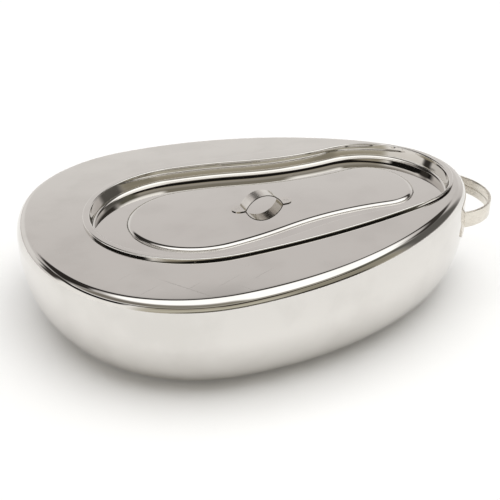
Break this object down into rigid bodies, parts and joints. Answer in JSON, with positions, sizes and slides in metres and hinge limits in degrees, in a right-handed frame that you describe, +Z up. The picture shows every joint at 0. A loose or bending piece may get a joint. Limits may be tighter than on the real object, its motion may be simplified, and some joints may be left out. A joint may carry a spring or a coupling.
{
  "type": "bedpan",
  "caption": "Stainless steel bedpan: flat egg-shaped seat on a deep bowl, a strap handle at the narrow end, and a lift-off dished cover with an arched strip to lift it by.",
  "frame": {"origin": "centre of the whole pan's box, handle included, on the floor that the flat base rests on", "axes": "+X along the pan from its wide end to its handle, +Y across it, +Z up"},
  "size_m": [0.3896, 0.2882, 0.0937],
  "materials": {
    "polished_steel": "mirror-polished stainless steel sheet",
    "satin_steel": "satin stainless steel strip",
    "weld_steel": "stainless steel weld metal, ground flush or left as spots"
  },
  "bodies": {
    "pan": {"pan_bowl": "polished_steel", "pan_seat": "polished_steel", "pan_seam_weld": "polished_steel", "pan_handle": "satin_steel", "pan_handle_spot_welds": "weld_steel"},
    "lid": {"cover": "polished_steel", "cover_handle": "satin_steel", "cover_handle_spot_welds": "weld_steel"}
  },
  "joints": [
    {"name": "cover_lift", "type": "slide", "parent": "pan", "child": "lid", "axis": [0, 0, 1], "range_m": [0, 0.12]}
  ]
}
